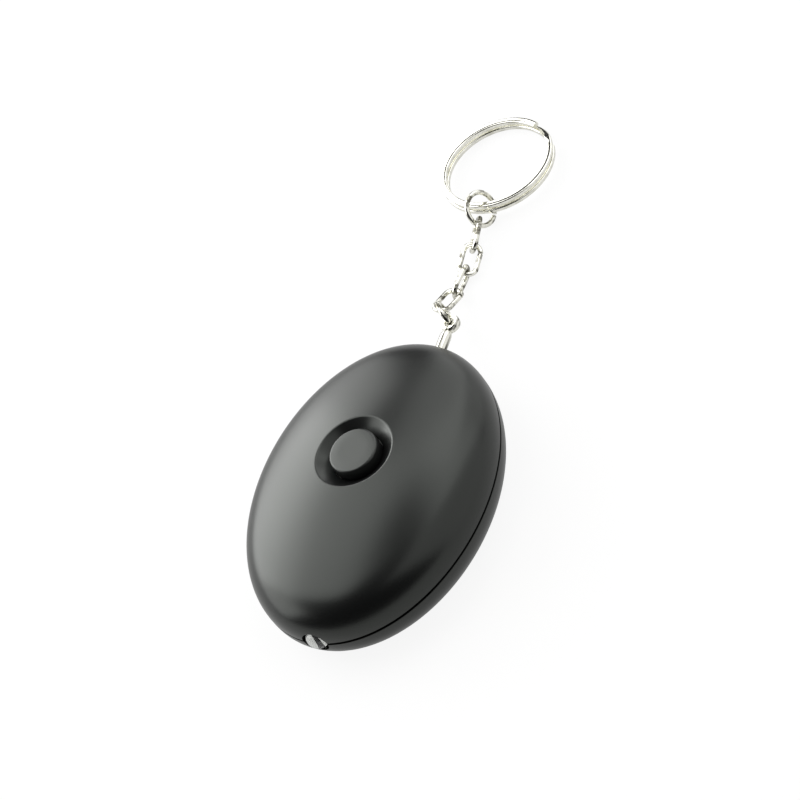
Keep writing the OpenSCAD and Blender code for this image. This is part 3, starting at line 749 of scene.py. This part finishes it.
# Battery door: a flat ABS cover let into the back, with an ear at each side for its screw.
# It is moulded like the case and lifts straight off.
door_chamfer = 0.2
door_recess_radius = 1.65
door_recess_depth = 0.85
door_hole_radius = 0.95
door_points = [(0, holder_y + side * door_ear_out) for side in (-1, 1)]
door_block = prism(door_outline(0), 0, door_thickness, door_outline(-door_chamfer), door_chamfer)
door_holes = [prism(circle(door_recess_radius, point), -cut_past, door_recess_depth) for point in door_points]
door_holes += [prism(circle(door_hole_radius, point), -cut_past, through) for point in door_points]
battery_door = new_piece("battery_cover", cut_out(door_block, joined(door_holes)), case_plastic)
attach(battery_door, "battery_door")
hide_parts("battery_door")

door_screw = {"head": 1.5, "height": 0.6, "round": 0.3, "shank": 0.8, "length": 2.2}
door_screw_points = [(x, y, door_recess_depth) for x, y in door_points]
door_screw_mesh = set_screws("cover_screw_set", door_screw, door_screw_points, zinc_steel)
door_screws = new_piece("cover_screw_set", door_screw_mesh, zinc_steel)
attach(door_screws, "battery_door")
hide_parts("door_screws")

# Pull pin: a turned steel pin whose outer end is flattened to a round head and pierced for the jump ring.
# It is nickel plated with the chain, and pushes into the lower half until it is pulled.
pin_radius = 1.2
pin_tip = 23.3
pin_eye_y = 41.2
pin_groove_start = 25.7
pin_groove_end = 26.6
pin_groove_radius = 0.9
pin_neck = ((1.2, 37.9), (1.12, 38.6), (0.9, 39.3), (0.7, 39.9))
pin_head_radius = 2.0
pin_head_half = 0.85
pin_eye_radius = 0.95
pin_eye_round = 0.3
pin_turn = math.radians(-10)
pin_sides = 48
head_sides = 64

# Nickel-plated steel: a bright, slightly warm metal with small changes of shine. The key ring is rolled
# smooth. The pin keeps drawing marks, dark streaks along it. The chain is tumbled before plating, and its
# shallow tarnished dents break the mirror into light and dark.
nickel_finishes = {
    "nickel_plated_rolled_steel": ("#f6f5ec", "#e2e1d6", 0.008, (1.7, 1.7, 1.7)),
    "nickel_plated_drawn_steel": ("#f0efe5", "#4a4942", 0.01, (0.55, 9.0, 0.55)),
    "nickel_plated_tumbled_steel": ("#f0efe5", "#67655a", 0.03, (1.7, 1.7, 1.7)),
}
tarnish_places = (0.36, 0.52)
nickel_roughness = (0.04, 0.13)
nickels = []
for name, (clean, tarnished, mark_depth, mark_mm) in nickel_finishes.items():
    nickel, tree, shader, place = new_finish(name, {"Metallic": 1.0})
    marks = streaks(tree, place, mark_mm)
    set_colour(tree, shader, marks, (tarnished, clean), tarnish_places)
    set_roughness(tree, shader, marks, nickel_roughness)
    set_bump(tree, shader, marks, mark_depth)
    nickels.append(nickel)
rolled_nickel, drawn_nickel, tumbled_nickel = nickels

pin_nose = quarter_turn(round_steps)
pin_profile = [(pin_radius * math.sin(t), pin_tip + pin_radius * (1 - math.cos(t))) for t in pin_nose]
pin_profile += [(pin_radius, pin_groove_start), (pin_groove_radius, pin_groove_start)]
pin_profile += [(pin_groove_radius, pin_groove_end), (pin_radius, pin_groove_end)]
pin_profile += [*pin_neck, (0, pin_neck[-1][1])]

rim_angle = math.asin(pin_head_half / pin_head_radius)
rim_turns = [rim_angle * (2 * i / lip_steps - 1) for i in range(lip_steps + 1)]
eye_turns = quarter_turn(round_steps)
head_profile = [(pin_head_radius * math.cos(t), pin_head_radius * math.sin(t)) for t in rim_turns]
eye_edge = pin_eye_radius + pin_eye_round
eye_high = pin_head_half - pin_eye_round
for t in eye_turns:
    head_profile.append((eye_edge - pin_eye_round * math.sin(t), eye_high + pin_eye_round * math.cos(t)))
for t in eye_turns:
    head_profile.append((eye_edge - pin_eye_round * math.cos(t), -eye_high - pin_eye_round * math.sin(t)))
head = skin(upright(head_profile, 0, head_sides), looped=True)
eye_place = Matrix.Translation(Vector((0, pin_eye_y, pin_z)) * mm)
head.transform(eye_place @ Matrix.Rotation(pin_turn, 4, "Y"))
stick = skin(lying(pin_profile, pin_z, pin_sides))
pin = new_piece("pull_pin_body", joined([stick, head]), drawn_nickel)
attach(pin, "pull_pin")
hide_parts("pull_pin")

# Jump ring, four oval links and end ring: lengths of round steel wire bent to shape, with their cut ends
# closed against each other, and nickel plated. Each hangs in the one before it.
wire = 1.05
wire_play = 0.25
jump_ring_size = 7.2
end_ring_size = 8.0
link_size = (8.3, 4.5)
wire_slit = 0.012
wire_sides = 24
bend_share = 0.4999
bend_points = 20
wire_smooth_angle = 50
jump_swing = math.radians(43)

# How each piece lies on the table: its heading, its fall and its turn about its own length, in degrees.
chain_lie = {
    "chain_link_1": (-4, 21.3, 4),
    "chain_link_2": (1, 6.4, -74),
    "chain_link_3": (6.5, -0.4, 30),
    "chain_link_4": (5, -10.7, -50),
    "end_ring": (2.5, -14.4, 64),
}
chain_length = {node: end_ring_size if node == "end_ring" else link_size[0] for node in chain_lie}
chain_width = {node: end_ring_size if node == "end_ring" else link_size[1] for node in chain_lie}


def lie(middle, heading, fall, turn):
    """Where a ring or link lies: its middle, its heading and fall, and its turn about its own length."""
    place = Matrix.Translation(Vector(middle) * mm)
    for angle, axis in ((heading, "Z"), (-fall, "X"), (turn, "Y")):
        place = place @ Matrix.Rotation(math.radians(angle), 4, axis)
    return place


def toward(heading, fall):
    """The way that a ring or link points, from its heading and fall."""
    return lie((0, 0, 0), heading, fall, 0).to_3x3() @ Vector((0, 1, 0))


def worked(tree, operation, *values):
    """The result of a sum on sockets or numbers."""
    return put(tree, "ShaderNodeMath", dict(enumerate(values)), operation=operation).outputs[0]


def swept(tree, path, section):
    """The mesh of a section drawn along a path, closed at its ends."""
    curves = {"Curve": path.outputs["Curve"], "Profile Curve": section.outputs["Curve"], "Fill Caps": True}
    return put(tree, "GeometryNodeCurveToMesh", curves).outputs["Mesh"]


# The tree bends a round wire to an oval of a length and width, and leaves a fine slit where its ends meet.
wire_inputs = dict.fromkeys(("Length", "Width", "Wire", "Slit"), "Float")
bent_wire, given = new_tree("bent_wire", wire_inputs, "Link")
long_side = worked(bent_wire, "SUBTRACT", given["Length"], given["Wire"])
short_side = worked(bent_wire, "SUBTRACT", given["Width"], given["Wire"])
bend = worked(bent_wire, "MULTIPLY", short_side, bend_share)
sides = {"Width": short_side, "Height": long_side}
box = put(bent_wire, "GeometryNodeCurvePrimitiveQuadrilateral", sides)
corners = {"Curve": box.outputs["Curve"], "Count": bend_points, "Radius": bend}
bent = put(bent_wire, "GeometryNodeFilletCurve", corners, mode="POLY")
cut_end = worked(bent_wire, "SUBTRACT", 1.0, given["Slit"])
ends = {"Curve": bent.outputs["Curve"], "Start": given["Slit"], "End": cut_end}
opened = put(bent_wire, "GeometryNodeTrimCurve", ends)
wire_radius = worked(bent_wire, "MULTIPLY", given["Wire"], 0.5)
round_wire = {"Resolution": wire_sides, "Radius": wire_radius}
section = put(bent_wire, "GeometryNodeCurvePrimitiveCircle", round_wire)
end_tree(bent_wire, swept(bent_wire, opened, section), tumbled_nickel, "Link")

jump_reach = (jump_ring_size - wire) / 2
jump_place = eye_place @ Matrix.Rotation(pin_turn, 4, "Y") @ Matrix.Rotation(jump_swing, 4, "Z")
jump_far = jump_place @ (Vector((0, 2 * jump_reach, 0)) * mm) / mm
jump_place = jump_place @ Matrix.Translation(Vector((0, jump_reach, 0)) * mm)
jump_place = jump_place @ Matrix.Rotation(math.pi / 2, 4, "Y")
wires = {"jump_ring": (jump_place, jump_ring_size, jump_ring_size)}
hung_on = jump_far
for node, (heading, fall, turn) in chain_lie.items():
    reach = (chain_length[node] - wire) / 2
    middle = hung_on + toward(heading, fall) * (reach - wire - wire_play)
    hung_on = middle + toward(heading, fall) * reach
    wires[node] = (lie(middle, heading, fall, turn), chain_length[node], chain_width[node])
for node, (where, length, width) in wires.items():
    sizes = {"Length": length * mm, "Width": width * mm, "Wire": wire * mm, "Slit": wire_slit}
    mesh = grow(node + "_wire", bent_wire, sizes)
    mesh.transform(where)
    link = new_piece(node + "_wire", mesh, tumbled_nickel, wire_smooth_angle)
    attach(link, node)
    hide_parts(node)
end_ring_middle = middle

# Key ring: one length of flattened spring-steel wire coiled in two turns, which steps from the upper turn to
# the lower one over a short arc. Its edges are rounded by rolling, and it is nickel plated.
key_outside = 25.0
key_width = 1.4
key_turn_height = 1.0
key_gap = 0.42
key_edge = 0.3
key_ramp = 34.0
key_ramp_at = 40.0
key_seat = 0.8
key_sink = 0.9
key_heading = 6.5
key_fall = 4.2
key_points = 260
key_edge_points = 5

# The tree turns a line of points into a two-turn coil, and draws a strip with rounded edges along it.
coil_inputs = dict.fromkeys(("Radius", "Wire width", "Turn height", "Edge", "Step", "Start", "Ramp"), "Float")
coiled_wire, given = new_tree("coiled_wire", coil_inputs, "Ring")
line = put(coiled_wire, "GeometryNodeMeshLine", {"Count": key_points, "Offset": (mm, 0, 0)})
path = put(coiled_wire, "GeometryNodeMeshToCurve", {"Mesh": line.outputs["Mesh"]})
index = put(coiled_wire, "GeometryNodeInputIndex").outputs[0]
share = worked(coiled_wire, "DIVIDE", index, key_points - 1)
two_turns = worked(coiled_wire, "SUBTRACT", 4 * math.pi, given["Ramp"])
angle = worked(coiled_wire, "MULTIPLY", share, two_turns)
turned = worked(coiled_wire, "ADD", angle, given["Start"])
ramp_start = worked(coiled_wire, "SUBTRACT", 2 * math.pi, given["Ramp"])
upper, lower = [worked(coiled_wire, "MULTIPLY", given["Step"], part) for part in (0.5, -0.5)]
ramp = {"Value": angle, "From Min": ramp_start, "From Max": 2 * math.pi, "To Min": upper, "To Max": lower}
height = put(coiled_wire, "ShaderNodeMapRange", ramp, interpolation_type="SMOOTHSTEP").outputs["Result"]
waves = [worked(coiled_wire, wave, turned) for wave in ("COSINE", "SINE")]
across, along = [worked(coiled_wire, "MULTIPLY", wave, given["Radius"]) for wave in waves]
spot = put(coiled_wire, "ShaderNodeCombineXYZ", {"X": across, "Y": along, "Z": height}).outputs[0]
placing = {"Geometry": path.outputs["Curve"], "Position": spot}
coil = put(coiled_wire, "GeometryNodeSetPosition", placing)
level = put(coiled_wire, "GeometryNodeSetCurveNormal", {"Curve": coil.outputs["Geometry"]}, mode="Z_UP")
sides = {"Width": given["Wire width"], "Height": given["Turn height"]}
strip = put(coiled_wire, "GeometryNodeCurvePrimitiveQuadrilateral", sides)
corners = {"Curve": strip.outputs["Curve"], "Count": key_edge_points, "Radius": given["Edge"]}
rolled = put(coiled_wire, "GeometryNodeFilletCurve", corners, mode="POLY")
end_tree(coiled_wire, swept(coiled_wire, level, rolled), rolled_nickel, "Ring")

key_radius = (key_outside - key_width) / 2
end_heading, end_fall = chain_lie["end_ring"][:2]
key_wire = end_ring_middle + toward(end_heading, end_fall) * key_seat - Vector((0, 0, key_sink))
key_middle = key_wire + toward(key_heading, key_fall) * key_radius
key_sizes = {
    "Radius": key_radius * mm, "Wire width": key_width * mm, "Turn height": key_turn_height * mm,
    "Edge": key_edge * mm, "Step": (key_turn_height + key_gap) * mm,
    "Start": math.radians(key_ramp_at + key_ramp / 2), "Ramp": math.radians(key_ramp),
}
key_mesh = grow("key_ring", coiled_wire, key_sizes)
key_mesh.transform(lie(key_middle, key_heading, key_fall, 0))
key_ring = new_piece("key_ring", key_mesh, rolled_nickel, wire_smooth_angle)
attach(key_ring, "split_ring")
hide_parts("split_ring")

# Studio: white paper on a light table, soft panels on the left, overhead, behind and on the right, and a dim
# room. The table's glow keeps the paper white to its edge in the picture, with a faint shadow, and shows in
# the case from below.
floor_size = 8.0
paper_white = "#fbfbfa"
paper_grey = "#bcbcbb"
paper_glow = 0.9
bounce_glow = 0.5
floor_mesh = bpy.data.meshes.new("floor")
floor_corners = [(x, y, 0) for x, y in rectangle((floor_size, floor_size))]
floor_mesh.from_pydata(floor_corners, [], [(0, 1, 2, 3)])
floor = bpy.data.objects.new("floor", floor_mesh)
bpy.context.scene.collection.objects.link(floor)
paper = bpy.data.materials.new("white_paper")
paper.use_nodes = True
tree = paper.node_tree
tree.nodes.clear()
sight = put(tree, "ShaderNodeLightPath").outputs
seen = worked(tree, "MAXIMUM", sight["Is Camera Ray"], sight["Is Transmission Ray"])
glow = put(tree, "ShaderNodeMapRange", {"Value": seen, "To Min": bounce_glow, "To Max": paper_glow})
paper_shades = put(tree, "ShaderNodeValToRGB", {"Fac": seen})
paper_shades.color_ramp.elements[0].color = linear(paper_grey)
paper_shades.color_ramp.elements[1].color = linear(paper_white)
lit = put(tree, "ShaderNodeBsdfDiffuse", {"Color": paper_shades.outputs["Color"]})
own = put(tree, "ShaderNodeEmission", {"Color": linear("#ffffff"), "Strength": 1.0})
both = put(tree, "ShaderNodeMixShader", {0: glow.outputs[0], 1: lit.outputs[0], 2: own.outputs[0]})
put(tree, "ShaderNodeOutputMaterial", {"Surface": both.outputs[0]})
floor_mesh.materials.append(paper)

# Each lamp: its bearing and height in degrees, half its width and height in degrees, and its brightness.
lamps = {
    "left_panel": ((175, 26), (45, 21), 2.3),
    "left_lamp": ((166, 24), (22, 16), 2.6),
    "top_panel": ((170, 63), (23, 20), 2.35),
    "back_panel": ((98, 33), (13, 31), 1.5),
    "side_panel": ((70, 36), (16, 36), 1.12),
    "right_panel": ((22, 38), (33, 38), 0.86),
}
lamp_distance = 0.7
for name, ((bearing, height), half_angles, radiance) in lamps.items():
    size = [2 * lamp_distance * math.tan(math.radians(angle)) for angle in half_angles]
    data = bpy.data.lights.new(name, "AREA")
    data.shape = "RECTANGLE"
    data.size, data.size_y = size
    data.energy = radiance * math.pi * size[0] * size[1]
    lamp_object = bpy.data.objects.new(name, data)
    turn, tilt = math.radians(bearing), math.radians(height)
    away = Vector((math.cos(turn) * math.cos(tilt), math.sin(turn) * math.cos(tilt), math.sin(tilt)))
    lamp_object.location = away * lamp_distance
    lamp_object.rotation_euler = away.to_track_quat("Z", "Y").to_euler()
    bpy.context.scene.collection.objects.link(lamp_object)

room_grey = 0.04
world = bpy.data.worlds.new("room")
bpy.context.scene.world = world
world.use_nodes = True
world.node_tree.nodes["Background"].inputs["Color"].default_value = linear("#ffffff")
world.node_tree.nodes["Background"].inputs["Strength"].default_value = room_grey

# Camera: placed by its bearing, height and roll about the middle of the seam, and aimed a little past it.
view_bearing = math.radians(52.786)
view_height = math.radians(47.328)
view_roll = math.radians(-38.929)
view_distance = 526.77
focal_pixels = 2749.0
aim_right = 24.544
aim_up = 93.682
image_pixels = 800
sensor_mm = 36.0
seam_middle = Vector((0, 0, seam_z))
back = Vector((
    math.sin(view_bearing) * math.cos(view_height),
    -math.cos(view_bearing) * math.cos(view_height),
    math.sin(view_height),
))
level_right = Vector((math.cos(view_bearing), math.sin(view_bearing), 0))
level_up = back.cross(level_right)
right = level_right * math.cos(view_roll) + level_up * math.sin(view_roll)
up = level_up * math.cos(view_roll) - level_right * math.sin(view_roll)
eye = seam_middle + back * view_distance
aim = seam_middle + (right * aim_right + up * aim_up) * view_distance / focal_pixels
camera_back = (eye - aim).normalized()
camera_right = up.cross(camera_back).normalized()
camera_up = camera_back.cross(camera_right)
camera_data = bpy.data.cameras.new("camera")
camera_data.sensor_width = sensor_mm
camera_data.lens = focal_pixels / image_pixels * sensor_mm
camera_data.clip_start = 0.01
camera = bpy.data.objects.new("camera", camera_data)
camera_turn = Matrix((camera_right, camera_up, camera_back)).transposed().to_4x4()
camera.matrix_world = Matrix.Translation(eye * mm) @ camera_turn
bpy.context.scene.collection.objects.link(camera)
bpy.context.scene.camera = camera
bpy.context.scene.view_settings.view_transform = "Standard"
